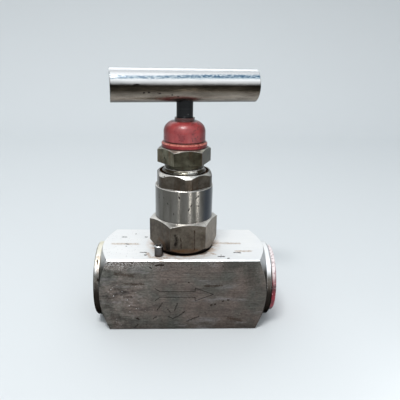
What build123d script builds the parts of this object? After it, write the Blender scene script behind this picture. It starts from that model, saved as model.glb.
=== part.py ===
from build123d import *
import os
from math import cos, hypot, radians, sin, tan

# A bar-stock needle valve for flow control. Millimetres; +Z runs up the stem axis, +X points out of the
# outlet port, and the origin is at the centre of the flat underside. The valve stands fully open and its
# gland is backed off: closing and tightening both move their pieces down.

# ---------------------------------------------------------------- driving dimensions
# Body: square bar, turned to a round boss at each end
body_width = 32.0
body_length = 73.0
body_edge_break = 0.4
boss_radius = 15.7
boss_length = 2.2
boss_edge_break = 0.5
boss_cone_angle = 30.0

# Ports: G 1/2 parallel thread, cut at its major diameter, behind a plain relief at the mouth. An insert
# drill leaves the floors flat
port_thread_radius = 10.4775
port_thread_length = 13.6
port_floor_break = 0.4
port_relief_radius = 10.8
port_relief_depth = 5.0
port_edge_break = 0.4
drill_point_angle = 118.0

# Flow path: slanted inlet drilling, vertical orifice with the seat on its rim, chamber, level outlet drilling
orifice_radius = 2.5
orifice_depth = 6.5
chamber_radius = 6.5
chamber_depth = 9.5
passage_radius = 2.0
passage_rise = 0.25
inlet_edge_gap = 0.4

# Bonnet: screwed into the body down to a flat seal ring
bonnet_bore_radius = 10.0
bonnet_bore_depth = 12.5
seal_thickness = 1.5
bonnet_standoff = 1.0
bonnet_end_break = 0.5
bonnet_hex_flats = 24.75
bonnet_hex_height = 12.6
bonnet_index_angle = 7.7
bonnet_foot_radius = 12.2
bonnet_foot_angle = 45.0
bonnet_shoulder_angle = 25.0
collar_radius = 11.8
collar_edge_break = 0.2
top_flats = 21.2
top_flats_height = 5.8
rim_radius = 10.4
rim_angle = 45.0
mouth_radius = 10.0
mouth_depth = 2.0

# Bonnet bores: needle cavity with a back seat at its top, stem thread, packing box, gland thread
cavity_radius = 5.6
cavity_depth = 9.0
stem_thread_radius = 5.0
stem_thread_bore_length = 14.0
packing_floor = 1.5
packing_bore_radius = 6.5
gland_thread_radius = 8.0
gland_thread_bore_length = 7.4

# Spring pin that locks the bonnet: a rolled sheet tube, standing beside one flat of the hexagon
pin_radius = 1.75
pin_wall = 0.75
pin_slot = 0.8
pin_slot_angle = 95.0
pin_length = 9.5
pin_stand_out = 4.5
pin_gap = 0.9
pin_side_offset = 3.0
pin_end_break = 0.3

# Packing: chevron rings between two adapters
chevron_height = 1.2
lower_adapter_thickness = 1.0
packing_ring_count = 4
packing_ring_pitch = 1.5
upper_adapter_thickness = 2.0

# Gland: follower pressed down by a nut, with one turn of take-up
gland_pitch = 1.5
gland_turns = 1.0
follower_entry = 1.0
follower_flange_radius = 7.4
follower_flange_thickness = 1.0
gland_gap = 3.6
gland_hex_flats = 18.8
gland_hex_height = 6.0
gland_index_angle = 8.3
gland_face_radius = 9.3
gland_chamfer_angle = 30.0
gland_boss_height = 3.0

# Dust cap on the gland nut
cap_flange_radius = 9.1
cap_flange_height = 2.2
cap_flange_break = 0.5
cap_dome_radius = 8.3
cap_dome_height = 10.3
cap_dome_round = 4.3
cap_lip_radius = 3.95
cap_lip_height = 1.2
cap_wall = 1.3

# Stem and needle tip; the tip hangs on the stem by a snap ring and a ball takes the thrust
stem_radius = 3.25
stem_pitch = 1.5
stem_turns = 3.0
stem_collar_radius = 5.5
stem_collar_thickness = 1.6
stem_thread_relief = 0.5
spigot_radius = 2.6
spigot_length = 4.9
spigot_groove_radius = 2.2
tip_radius = 4.6
tip_point_radius = 0.8
tip_half_angle = 30.0
tip_socket_radius = 2.7
tip_socket_floor_gap = 0.5
ball_radius = 1.25
snap_ring_outer_radius = 3.1
snap_ring_inner_radius = 2.3
snap_ring_thickness = 0.8
snap_ring_height = 2.2
snap_ring_opening = 40.0

# Tee-bar handle and its set screw
handle_radius = 6.35
handle_length = 57.0
handle_edge_break = 0.25
handle_angle = 11.16
handle_clearance = 1.3
stem_rise_in_handle = 3.0
stem_end_break = 0.4
screw_radius = 2.5
screw_length = 3.0
screw_flat_depth = 0.4
screw_flat_height = 6.0
screw_socket_flats = 2.5
screw_socket_depth = 1.6
screw_point_break = 0.5

# Protective plug pushed into the outlet port, a cup with its open side outwards
plug_flange_radius = 14.2
plug_flange_thickness = 2.0
plug_flange_break = 0.4
plug_wall = 1.2
plug_floor = 1.2
plug_end_gap = 0.4

# Clearances
thread_clearance = 0.05
slide_clearance = 0.1
seal_clearance = 0.1
packing_clearance = 0.02
stem_packing_clearance = 0.05
seat_clearance = 0.06
back_seat_clearance = 0.05
handle_fit = 0.02
cap_clearance = 0.1
plug_clearance = 0.2

# ---------------------------------------------------------------- levels worked out from them
body_top = body_width
port_axis_z = body_width / 2
body_end = body_length / 2
port_floor = body_end - port_relief_depth - port_thread_length - port_floor_break
bonnet_bore_floor = body_top - bonnet_bore_depth
seat_z = bonnet_bore_floor - chamber_depth
orifice_floor = seat_z - orifice_depth

bonnet_end = bonnet_bore_floor + seal_thickness
hex_bottom = body_top + bonnet_standoff
hex_top = hex_bottom + bonnet_hex_height
back_seat_z = bonnet_end + cavity_depth
stem_thread_top = back_seat_z + stem_thread_bore_length
packing_z = stem_thread_top + packing_floor
rings_z = packing_z + lower_adapter_thickness
rings_top = rings_z + packing_ring_count * packing_ring_pitch
packing_top = rings_top + upper_adapter_thickness
packing_bore_top = packing_top + follower_entry
mouth_floor = packing_bore_top + gland_thread_bore_length
rim_z = mouth_floor + mouth_depth
ledge_z = rim_z - top_flats_height

take_up = gland_pitch * gland_turns
follower_flange_z = packing_bore_top + take_up + slide_clearance
follower_top = follower_flange_z + follower_flange_thickness
gland_hex_bottom = rim_z + gland_gap
gland_top = gland_hex_bottom + gland_hex_height
cap_top = gland_top + cap_dome_height + cap_lip_height

travel = stem_pitch * stem_turns
handle_z = cap_top + travel + handle_clearance + handle_radius
stem_top = handle_z + stem_rise_in_handle
stem_shoulder = back_seat_z - back_seat_clearance
collar_bottom = stem_shoulder - (stem_collar_radius - stem_thread_radius) - stem_collar_thickness
spigot_end = collar_bottom - spigot_length
tip_top = collar_bottom - 2 * slide_clearance
tip_apex = seat_z + travel + seat_clearance - orifice_radius / tan(radians(tip_half_angle))
snap_ring_z = spigot_end + snap_ring_height

stem_bore = stem_radius + slide_clearance
packing_inner = stem_radius + stem_packing_clearance
packing_outer = packing_bore_radius - packing_clearance
packing_middle = (packing_inner + packing_outer) / 2
rear = Vector(0, 1, 0).rotate(Axis.Z, handle_angle)
pieces = {}


def drill_point(radius):
    """Depth of the cone that a drill of this radius leaves."""
    return radius / tan(radians(drill_point_angle / 2))


def turned(outline, axis=Axis.Z, mode=Mode.ADD):
    """Revolve an outline of (radius, height) points, or (x, z) points about a level axis."""
    with BuildSketch(Plane.XZ) as profile:
        with BuildLine():
            Polyline(*outline, close=True)
        make_face()
    revolve(profile.sketch, axis=axis, mode=mode)


# ---------------------------------------------------------------- valve body
port_axis = Axis((0, 0, port_axis_z), (1, 0, 0))
bar_corner = hypot(body_width, body_width) / 2
cone_end = body_end - boss_length
cone_start = cone_end - (bar_corner - boss_radius) * tan(radians(boss_cone_angle))

with BuildPart() as valve_body:
    with BuildSketch(Plane.YZ.offset(-body_end)):
        with Locations((0, port_axis_z)):
            Rectangle(body_width, body_width)
    extrude(amount=body_length)
    chamfer(valve_body.edges().filter_by(Axis.X), body_edge_break)

    # both ends are turned down about the port axis: a cone off the corners, then the boss
    half_envelope = [
        (cone_start, port_axis_z + bar_corner),
        (cone_end, port_axis_z + boss_radius),
        (body_end - boss_edge_break, port_axis_z + boss_radius),
        (body_end, port_axis_z + boss_radius - boss_edge_break),
        (body_end, port_axis_z),
    ]
    other_half = [(-x, z) for x, z in reversed(half_envelope)]
    turned(half_envelope + other_half, port_axis, Mode.INTERSECT)

    # one port at each end
    for side in (1, -1):
        port = [
            (port_floor, port_axis_z),
            (port_floor, port_axis_z + port_thread_radius - port_floor_break),
            (port_floor + port_floor_break, port_axis_z + port_thread_radius),
            (body_end - port_relief_depth, port_axis_z + port_thread_radius),
            (body_end - port_relief_depth, port_axis_z + port_relief_radius),
            (body_end - port_edge_break, port_axis_z + port_relief_radius),
            (body_end, port_axis_z + port_relief_radius + port_edge_break),
            (body_end, port_axis_z),
        ]
        turned([(side * x, z) for x, z in port], port_axis, Mode.SUBTRACT)

    # bonnet bore, chamber and orifice on the stem axis
    turned(
        [
            (0, orifice_floor - drill_point(orifice_radius)),
            (orifice_radius, orifice_floor),
            (orifice_radius, seat_z),
            (chamber_radius, seat_z),
            (chamber_radius, bonnet_bore_floor),
            (bonnet_bore_radius, bonnet_bore_floor),
            (bonnet_bore_radius, body_top),
            (0, body_top),
        ],
        mode=Mode.SUBTRACT,
    )

    # the inlet drilling slants from the foot of the left port's floor down to the foot of the orifice
    inlet_low = Vector(0, 0, orifice_floor + passage_radius)
    inlet_high = Vector(-port_floor, 0, port_axis_z - port_thread_radius + inlet_edge_gap + passage_radius)
    with BuildSketch(Plane(origin=inlet_low, z_dir=inlet_high - inlet_low)):
        Circle(passage_radius)
    extrude(amount=(inlet_high - inlet_low).length + passage_radius, mode=Mode.SUBTRACT)

    # the outlet drilling runs level from the chamber, just above the seat, to the right port
    with BuildSketch(Plane.YZ):
        with Locations((0, seat_z + passage_rise + passage_radius)):
            Circle(passage_radius)
    extrude(amount=port_floor, mode=Mode.SUBTRACT)

    # hole for the lock pin, square to one flat of the bonnet hexagon
    pin_flat_angle = bonnet_index_angle - 150
    pin_reach = bonnet_hex_flats / 2 + pin_gap + pin_radius
    pin_place = Vector(pin_reach, pin_side_offset, 0).rotate(Axis.Z, pin_flat_angle)
    with BuildSketch(Plane.XY.offset(body_top)):
        with Locations((pin_place.X, pin_place.Y)):
            Circle(pin_radius)
    extrude(amount=pin_stand_out - pin_length, mode=Mode.SUBTRACT)
pieces["valve_body"] = valve_body

# ---------------------------------------------------------------- bonnet lock pin
with BuildPart() as bonnet_lock_pin:
    with BuildSketch(Plane.XY.offset(body_top + pin_stand_out - pin_length)):
        with Locations((pin_place.X, pin_place.Y)):
            Circle(pin_radius)
    extrude(amount=pin_length)
    pin_ends = bonnet_lock_pin.edges().filter_by(GeomType.CIRCLE)
    chamfer(pin_ends, pin_end_break)
    with BuildSketch(Plane.XY.offset(body_top + pin_stand_out)):
        with Locations(Location((pin_place.X, pin_place.Y, 0), (0, 0, pin_slot_angle))):
            Circle(pin_radius - pin_wall)
            Rectangle(pin_radius + pin_slot, pin_slot, align=(Align.MIN, Align.CENTER))
    extrude(amount=-pin_length, mode=Mode.SUBTRACT)
pieces["bonnet_lock_pin"] = bonnet_lock_pin

# ---------------------------------------------------------------- bonnet seal ring
with BuildPart() as bonnet_seal_ring:
    with BuildSketch(Plane.XY.offset(bonnet_bore_floor)):
        Circle(bonnet_bore_radius - seal_clearance)
        Circle(chamber_radius, mode=Mode.SUBTRACT)
    extrude(amount=seal_thickness)
pieces["bonnet_seal_ring"] = bonnet_seal_ring

# ---------------------------------------------------------------- bonnet
spigot_outer = bonnet_bore_radius - thread_clearance
hex_corner = bonnet_hex_flats / 2 / cos(radians(30))
foot_rise = (hex_corner - bonnet_foot_radius) * tan(radians(bonnet_foot_angle))
shoulder_drop = (hex_corner - collar_radius) * tan(radians(bonnet_shoulder_angle))
top_radius = collar_radius - collar_edge_break
rim_drop = (top_radius - rim_radius) * tan(radians(rim_angle))

with BuildPart() as bonnet:
    with BuildSketch(Plane.XY.offset(bonnet_end)):
        Circle(spigot_outer)
    extrude(amount=hex_bottom - bonnet_end)
    with BuildSketch(Plane.XY.offset(hex_bottom)):
        RegularPolygon(hex_corner, 6, rotation=bonnet_index_angle)
    extrude(amount=bonnet_hex_height)
    with BuildSketch(Plane.XY.offset(hex_top)):
        Circle(collar_radius)
    extrude(amount=ledge_z - hex_top)
    with BuildSketch(Plane.XY.offset(ledge_z)):
        Circle(collar_radius)
        RegularPolygon(
            top_flats / 2, 6, major_radius=False, rotation=bonnet_index_angle + 30, mode=Mode.INTERSECT
        )
    extrude(amount=top_flats_height)

    # the lathe's outline takes the hexagon's corners off and bevels the rim
    turned(
        [
            (0, bonnet_end),
            (spigot_outer - bonnet_end_break, bonnet_end),
            (spigot_outer, bonnet_end + bonnet_end_break),
            (spigot_outer, hex_bottom),
            (bonnet_foot_radius, hex_bottom),
            (hex_corner, hex_bottom + foot_rise),
            (hex_corner, hex_top - shoulder_drop),
            (collar_radius, hex_top),
            (collar_radius, ledge_z - collar_edge_break),
            (top_radius, ledge_z),
            (top_radius, rim_z - rim_drop),
            (rim_radius, rim_z),
            (0, rim_z),
        ],
        mode=Mode.INTERSECT,
    )

    # the bores, from the needle cavity up to the mouth
    turned(
        [
            (0, bonnet_end),
            (cavity_radius, bonnet_end),
            (cavity_radius, back_seat_z - (cavity_radius - stem_thread_radius - thread_clearance)),
            (stem_thread_radius + thread_clearance, back_seat_z),
            (stem_thread_radius + thread_clearance, stem_thread_top),
            (stem_bore, stem_thread_top),
            (stem_bore, packing_z),
            (packing_bore_radius, packing_z),
            (packing_bore_radius, packing_bore_top),
            (gland_thread_radius, packing_bore_top),
            (gland_thread_radius, mouth_floor),
            (mouth_radius, mouth_floor),
            (mouth_radius, rim_z),
            (0, rim_z),
        ],
        mode=Mode.SUBTRACT,
    )
pieces["bonnet"] = bonnet

# ---------------------------------------------------------------- packing
with BuildPart() as packing_lower_adapter:
    turned(
        [
            (packing_inner, packing_z),
            (packing_outer, packing_z),
            (packing_outer, rings_z),
            (packing_middle, rings_z + chevron_height),
            (packing_inner, rings_z),
        ]
    )
pieces["packing_lower_adapter"] = packing_lower_adapter

for number in range(packing_ring_count):
    ring_z = rings_z + number * packing_ring_pitch
    with BuildPart() as packing_ring:
        turned(
            [
                (packing_inner, ring_z),
                (packing_middle, ring_z + chevron_height),
                (packing_outer, ring_z),
                (packing_outer, ring_z + packing_ring_pitch),
                (packing_middle, ring_z + packing_ring_pitch + chevron_height),
                (packing_inner, ring_z + packing_ring_pitch),
            ]
        )
    pieces[f"packing_ring_{number + 1}"] = packing_ring

with BuildPart() as packing_upper_adapter:
    turned(
        [
            (packing_inner, rings_top),
            (packing_middle, rings_top + chevron_height),
            (packing_outer, rings_top),
            (packing_outer, packing_top),
            (packing_inner, packing_top),
        ]
    )
pieces["packing_upper_adapter"] = packing_upper_adapter

# ---------------------------------------------------------------- gland follower
with BuildPart() as gland_follower:
    turned(
        [
            (stem_bore, packing_top),
            (packing_bore_radius - slide_clearance, packing_top),
            (packing_bore_radius - slide_clearance, follower_flange_z),
            (follower_flange_radius, follower_flange_z),
            (follower_flange_radius, follower_top),
            (stem_bore, follower_top),
        ]
    )
pieces["gland_follower"] = gland_follower

# ---------------------------------------------------------------- gland nut
gland_corner = gland_hex_flats / 2 / cos(radians(30))
gland_drop = (gland_corner - gland_face_radius) * tan(radians(gland_chamfer_angle))
gland_boss_radius = cap_dome_radius - cap_wall - cap_clearance

with BuildPart() as gland_nut:
    with BuildSketch(Plane.XY.offset(follower_top)):
        Circle(gland_thread_radius - thread_clearance)
    extrude(amount=gland_hex_bottom - follower_top)
    with BuildSketch(Plane.XY.offset(gland_hex_bottom)):
        RegularPolygon(gland_corner, 6, rotation=gland_index_angle)
    extrude(amount=gland_hex_height)
    turned(
        [
            (0, follower_top),
            (gland_corner, follower_top),
            (gland_corner, gland_top - gland_drop),
            (gland_face_radius, gland_top),
            (0, gland_top),
        ],
        mode=Mode.INTERSECT,
    )
    with BuildSketch(Plane.XY.offset(gland_top)):
        Circle(gland_boss_radius)
    extrude(amount=gland_boss_height)
    with BuildSketch(Plane.XY.offset(follower_top)):
        Circle(stem_bore)
    extrude(amount=gland_top + gland_boss_height - follower_top, mode=Mode.SUBTRACT)
pieces["gland_nut"] = gland_nut

# ---------------------------------------------------------------- dust cap
dome_top = gland_top + cap_dome_height
cap_inner = cap_dome_radius - cap_wall
dome_round = min(cap_dome_round, cap_dome_radius - cap_lip_radius)
flange_break = min(cap_flange_break, cap_flange_radius - cap_dome_radius)
flange_top = gland_top + cap_flange_height

with BuildPart() as dust_cap:
    with BuildSketch(Plane.XZ):
        with BuildLine():
            side = Polyline(
                (0, gland_top),
                (cap_flange_radius, gland_top),
                (cap_flange_radius, flange_top - flange_break),
                (cap_flange_radius - flange_break, flange_top),
                (cap_dome_radius, flange_top),
                (cap_dome_radius, dome_top - dome_round),
            )
            dome = CenterArc((cap_dome_radius - dome_round, dome_top - dome_round), dome_round, 0, 90)
            Polyline(dome @ 1, (cap_lip_radius, dome_top), (cap_lip_radius, cap_top), (0, cap_top), side @ 0)
        make_face()
    revolve(axis=Axis.Z)
    turned(
        [
            (0, gland_top),
            (cap_inner, gland_top),
            (cap_inner, dome_top - dome_round),
            (cap_lip_radius, dome_top - cap_wall),
            (stem_bore, dome_top - cap_wall),
            (stem_bore, cap_top),
            (0, cap_top),
        ],
        mode=Mode.SUBTRACT,
    )
pieces["dust_cap"] = dust_cap

# ---------------------------------------------------------------- stem
stem_thread_end = stem_thread_top - stem_thread_relief
groove_half = snap_ring_thickness / 2 + slide_clearance

with BuildPart() as stem:
    turned(
        [
            (0, spigot_end),
            (spigot_radius, spigot_end),
            (spigot_radius, snap_ring_z - groove_half),
            (spigot_groove_radius, snap_ring_z - groove_half),
            (spigot_groove_radius, snap_ring_z + groove_half),
            (spigot_radius, snap_ring_z + groove_half),
            (spigot_radius, collar_bottom),
            (stem_collar_radius, collar_bottom),
            (stem_collar_radius, collar_bottom + stem_collar_thickness),
            (stem_thread_radius, stem_shoulder),
            (stem_thread_radius, stem_thread_end),
            (stem_radius, stem_thread_end),
            (stem_radius, stem_top - stem_end_break),
            (stem_radius - stem_end_break, stem_top),
            (0, stem_top),
        ]
    )
    # flat for the set screw
    screw_seat = rear * (stem_radius - screw_flat_depth) + Vector(0, 0, handle_z)
    with BuildSketch(Plane(origin=screw_seat, z_dir=rear)):
        Rectangle(2 * stem_radius, screw_flat_height)
    extrude(amount=screw_flat_depth, mode=Mode.SUBTRACT)
pieces["stem"] = stem

# ---------------------------------------------------------------- needle tip
tip_slope = tan(radians(tip_half_angle))
socket_floor = spigot_end - tip_socket_floor_gap
ball_z = spigot_end - ball_radius
pocket_apex = ball_z - ball_radius / sin(radians(drill_point_angle / 2))
pocket_radius = ball_radius + thread_clearance

with BuildPart() as needle_tip:
    turned(
        [
            (0, tip_apex + tip_point_radius / tip_slope),
            (tip_point_radius, tip_apex + tip_point_radius / tip_slope),
            (tip_radius, tip_apex + tip_radius / tip_slope),
            (tip_radius, tip_top),
            (0, tip_top),
        ]
    )
    turned(
        [
            (0, pocket_apex),
            (pocket_radius, pocket_apex + drill_point(pocket_radius)),
            (pocket_radius, socket_floor),
            (tip_socket_radius, socket_floor),
            (tip_socket_radius, snap_ring_z - snap_ring_thickness / 2),
            (snap_ring_outer_radius, snap_ring_z - snap_ring_thickness / 2),
            (snap_ring_outer_radius, snap_ring_z + snap_ring_thickness / 2),
            (tip_socket_radius, snap_ring_z + snap_ring_thickness / 2),
            (tip_socket_radius, tip_top),
            (0, tip_top),
        ],
        mode=Mode.SUBTRACT,
    )
pieces["needle_tip"] = needle_tip

# ---------------------------------------------------------------- thrust ball
with BuildPart() as thrust_ball:
    with Locations((0, 0, ball_z)):
        Sphere(ball_radius)
pieces["thrust_ball"] = thrust_ball

# ---------------------------------------------------------------- snap ring between tip and stem
with BuildPart() as tip_snap_ring:
    with BuildSketch(Plane.XY.offset(snap_ring_z - snap_ring_thickness / 2)):
        Circle(snap_ring_outer_radius)
        Circle(snap_ring_inner_radius, mode=Mode.SUBTRACT)
        with BuildLine():
            opening = CenterArc(
                (0, 0), 2 * snap_ring_outer_radius, -snap_ring_opening / 2, snap_ring_opening
            )
            Line((0, 0), opening @ 0)
            Line((0, 0), opening @ 1)
        make_face(mode=Mode.SUBTRACT)
    extrude(amount=snap_ring_thickness)
pieces["tip_snap_ring"] = tip_snap_ring

# ---------------------------------------------------------------- tee-bar handle
with BuildPart() as handle_bar:
    with BuildSketch(Plane(origin=(0, 0, handle_z), z_dir=rear.rotate(Axis.Z, -90))):
        Circle(handle_radius)
    extrude(amount=handle_length / 2, both=True)
    chamfer(handle_bar.edges().filter_by(GeomType.CIRCLE), handle_edge_break)
    with BuildSketch(Plane.XY.offset(handle_z - handle_radius)):
        Circle(stem_radius + handle_fit)
    extrude(amount=stem_top - handle_z + handle_radius, mode=Mode.SUBTRACT)
    with BuildSketch(Plane(origin=(0, 0, handle_z), z_dir=rear)):
        Circle(screw_radius)
    extrude(amount=handle_radius, mode=Mode.SUBTRACT)
pieces["handle_bar"] = handle_bar

# ---------------------------------------------------------------- set screw in the back of the handle
with BuildPart() as handle_set_screw:
    with BuildSketch(Plane(origin=screw_seat, z_dir=rear)):
        Circle(screw_radius)
    extrude(amount=screw_length)
    point_edge = handle_set_screw.edges().filter_by(GeomType.CIRCLE).sort_by_distance((0, 0, handle_z))[0]
    chamfer(point_edge, screw_point_break)
    with BuildSketch(Plane(origin=screw_seat + rear * screw_length, z_dir=rear)):
        RegularPolygon(screw_socket_flats / 2, 6, major_radius=False)
    extrude(amount=-screw_socket_depth, mode=Mode.SUBTRACT)
pieces["handle_set_screw"] = handle_set_screw

# ---------------------------------------------------------------- outlet plug
plug_outer = port_relief_radius - plug_clearance
plug_end = body_end - port_relief_depth + plug_end_gap
plug_face = body_end + plug_flange_thickness
with BuildPart() as outlet_plug:
    turned(
        [
            (plug_end, port_axis_z),
            (plug_end, port_axis_z + plug_outer),
            (body_end, port_axis_z + plug_outer),
            (body_end, port_axis_z + plug_flange_radius),
            (plug_face, port_axis_z + plug_flange_radius),
            (plug_face, port_axis_z + plug_outer - plug_wall),
            (plug_end + plug_floor, port_axis_z + plug_outer - plug_wall),
            (plug_end + plug_floor, port_axis_z),
        ],
        port_axis,
    )
    rims = outlet_plug.edges().filter_by(GeomType.CIRCLE).sort_by(SortBy.RADIUS)[-2:]
    chamfer(rims, plug_flange_break)
pieces["outlet_plug"] = outlet_plug

# ---------------------------------------------------------------- one file for each piece
os.makedirs("parts", exist_ok=True)
for name, piece in pieces.items():
    piece.part.label = name
    export_step(piece.part, f"parts/{name}.step")
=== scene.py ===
# %% [markdown]
# # A bar-stock needle valve, dressed for its portrait
#
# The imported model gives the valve's true shapes: a square steel body with a threaded port at each end, a
# screwed bonnet, a gland nut, a red dust cap and a tee-bar handle. This script adds what a lathe, a spanner
# and years in a workshop leave on such a valve. It also adds the port threads and the gland nut's shoulder,
# and sets up the floor, the lamps and the camera. Every length is in metres.

from math import cos, pi, radians, sin

import bmesh
import bpy
from mathutils import Matrix, Vector


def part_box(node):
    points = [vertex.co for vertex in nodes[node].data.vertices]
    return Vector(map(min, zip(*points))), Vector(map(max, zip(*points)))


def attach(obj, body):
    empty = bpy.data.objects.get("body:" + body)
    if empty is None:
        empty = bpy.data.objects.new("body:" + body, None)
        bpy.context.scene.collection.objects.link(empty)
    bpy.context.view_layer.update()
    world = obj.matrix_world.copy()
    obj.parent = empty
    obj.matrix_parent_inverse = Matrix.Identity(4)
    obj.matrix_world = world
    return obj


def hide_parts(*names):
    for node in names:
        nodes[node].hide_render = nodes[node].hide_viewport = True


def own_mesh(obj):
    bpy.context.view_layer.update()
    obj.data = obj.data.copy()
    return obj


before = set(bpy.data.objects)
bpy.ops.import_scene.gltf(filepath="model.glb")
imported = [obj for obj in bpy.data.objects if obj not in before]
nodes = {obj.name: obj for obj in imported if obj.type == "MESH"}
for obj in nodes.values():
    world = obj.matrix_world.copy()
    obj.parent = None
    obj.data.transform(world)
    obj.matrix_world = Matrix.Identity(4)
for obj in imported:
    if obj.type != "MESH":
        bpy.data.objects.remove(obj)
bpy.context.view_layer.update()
scene = bpy.context.scene
mm = 0.001

# %% [markdown]
# ## The camera
#
# A portrait of a small object is taken from close by, so its perspective is strong. The camera stands about
# 17 cm in front of the valve and 11 cm up, looks a little down, and is tilted by about one degree. Building
# its matrix from three turns keeps each of them a plain number.

# %% Camera
camera_place = Vector((-1.504, -172.154, 110.377)) * mm
camera_yaw, camera_pitch, camera_roll = radians(-2.724), radians(18.755), radians(1.262)
camera_lens = 39.31

camera_data = bpy.data.cameras.new("portrait_camera")
camera_data.lens = camera_lens
camera_data.sensor_width = 36.0
camera_data.clip_start = 0.005
camera = bpy.data.objects.new("portrait_camera", camera_data)
scene.collection.objects.link(camera)
camera.matrix_world = (
    Matrix.Translation(camera_place)
    @ Matrix.Rotation(camera_yaw, 4, "Z")
    @ Matrix.Rotation(pi / 2 - camera_pitch, 4, "X")
    @ Matrix.Rotation(camera_roll, 4, "Z")
)
scene.camera = camera
scene.view_settings.view_transform = "Standard"
print("camera lens", camera_lens, "at", [round(value, 4) for value in camera_place])

# %% [markdown]
# ## Small helpers for nodes
#
# A material is a tree of nodes. `put` adds one node and fills its sockets: what comes from another node is
# linked, and a plain value is written in. The others name the few sums that every finish needs, and find
# the tree from the values they are given. A colour is its red, green and blue.


# %% Node helpers
def put(tree, kind, inputs=(), **settings):
    """Add a node, apply its settings, and link or set its inputs, given by name or in order."""
    node = tree.nodes.new(kind)
    for name, value in settings.items():
        setattr(node, name, value)
    for key, value in inputs.items() if isinstance(inputs, dict) else enumerate(inputs):
        if isinstance(value, bpy.types.NodeSocket):
            tree.links.new(value, node.inputs[key])
        else:
            is_colour = node.inputs[key].type == "RGBA"
            node.inputs[key].default_value = (*value, 1.0) if is_colour else value
    return node


def beside(values, kind, inputs, **settings):
    """Put a node into the tree that the first linked one of these values belongs to."""
    tree = next(value.id_data for value in values if isinstance(value, bpy.types.NodeSocket))
    return put(tree, kind, inputs, **settings)


def spaced(name):
    """The name of a socket, where underscores stand for its spaces."""
    return name.replace("_", " ")


def calc(operation, *values, clamp=False):
    """One step of arithmetic."""
    return beside(values, "ShaderNodeMath", values, operation=operation, use_clamp=clamp).outputs[0]


def times(first, *others):
    """The product of several values."""
    for value in others:
        first = calc("MULTIPLY", first, value)
    return first


def plus(first, *others):
    """The sum of several values."""
    for value in others:
        first = calc("ADD", first, value)
    return first


def minus(value, taken):
    """One value less another."""
    return calc("SUBTRACT", value, taken)


def vector(operation, *values, scale=None):
    """One step of arithmetic with vectors: its vector, or its number where it gives one."""
    inputs = dict(enumerate(values))
    if scale is not None:
        inputs["Scale"] = scale
    node = beside(values, "ShaderNodeVectorMath", inputs, operation=operation)
    return node.outputs["Value" if operation in ("DOT_PRODUCT", "DISTANCE", "LENGTH") else "Vector"]


def parts(value):
    """The x, y and z of a vector."""
    return beside([value], "ShaderNodeSeparateXYZ", [value]).outputs


def spread(value, low, high, to_low=0.0, to_high=1.0, smooth=False):
    """Stretch the range low..high to to_low..to_high, and hold it there beyond."""
    kind = "SMOOTHSTEP" if smooth else "LINEAR"
    inputs = [value, low, high, to_low, to_high]
    return beside(inputs, "ShaderNodeMapRange", inputs, interpolation_type=kind).outputs[0]


def noise(place, scale, detail=4.0, roughness=0.5, stretch=None, output=0):
    """Noise at so many waves to the metre, or stretched differently along each axis."""
    if stretch:
        place = vector("MULTIPLY", place, stretch)
    inputs = {"Vector": place, "Scale": scale, "Detail": detail, "Roughness": roughness}
    return beside([place], "ShaderNodeTexNoise", inputs).outputs[output]


def tint(factor, under, over):
    """Lay one colour over another by a factor."""
    values = {0: factor, 6: under, 7: over}
    return beside(values.values(), "ShaderNodeMix", values, data_type="RGBA").outputs[2]


def shade(tone, amount):
    """Make a colour lighter or darker by a factor."""
    return vector("SCALE", tone, scale=amount)


def new_group(name, output, **inputs):
    """Start a node group that takes a place and these inputs, set to defaults, and gives one number."""
    tree = bpy.data.node_groups.new(name, "ShaderNodeTree")
    tree.interface.new_socket(name="Vector", in_out="INPUT", socket_type="NodeSocketVector")
    for key, default in inputs.items():
        kind = "NodeSocketVector" if isinstance(default, tuple) else "NodeSocketFloat"
        socket = tree.interface.new_socket(name=spaced(key).capitalize(), in_out="INPUT", socket_type=kind)
        socket.default_value = default
    tree.interface.new_socket(name=output, in_out="OUTPUT", socket_type="NodeSocketFloat")
    given, result = put(tree, "NodeGroupInput").outputs, put(tree, "NodeGroupOutput").inputs[output]
    return given, result, given["Vector"]


def end_group(value, result):
    """Link a group's result, and return the group."""
    group = result.id_data
    group.links.new(value, result)
    print("group", group.name)
    return group


def use_group(group, place, **values):
    """Use a node group at a place and return its output."""
    node = beside([place], "ShaderNodeGroup", {"Vector": place}, node_tree=group)
    for key, value in values.items():
        node.inputs[spaced(key).capitalize()].default_value = value
    return node.outputs[0]


print("node helpers ready")

# %% [markdown]
# ## Effects that several finishes share
#
# Each is a node group, so it is drawn once and used often. The first is **streaks**: rolled bar carries fine
# lines along its length. Noise that is squeezed across the lines and stretched along them looks the same.

# %% Streaks
given, result, place = new_group("streaks", "Value", stretch=(100.0, 900.0, 900.0))
pulled = vector("MULTIPLY", place, given["Stretch"])
both = plus(times(noise(pulled, 1.0, 3.0), 0.6), times(noise(pulled, 3.7, 2.0), 0.4))
streaks = end_group(spread(both, 0.32, 0.68), result)

# %% [markdown]
# **Lathe rings**: a tool leaves rings, which depend only on the distance from the axis and the height. Noise
# read at just those two numbers runs round the piece.

# %% Lathe rings
given, result, place = new_group("lathe_rings", "Value", rings_per_metre=2500.0)
part = parts(place)
away = calc("SQRT", plus(times(part[0], part[0]), times(part[1], part[1])))
flat = beside([away], "ShaderNodeCombineXYZ", [away, part[2], 0.0]).outputs[0]
turns = noise(vector("SCALE", flat, scale=given["Rings per metre"]), 1.0, 2.0)
mixed = plus(times(turns, 0.8), times(noise(place, 180.0, 1.0), 0.2))
lathe_rings = end_group(spread(mixed, 0.35, 0.65), result)

# %% [markdown]
# **Edge wear**: upper corners are knocked bright. The Bevel node looks at the surface round each point, and
# where its rounded normal leaves the true one there is an edge. So no edge is picked by hand.

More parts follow.
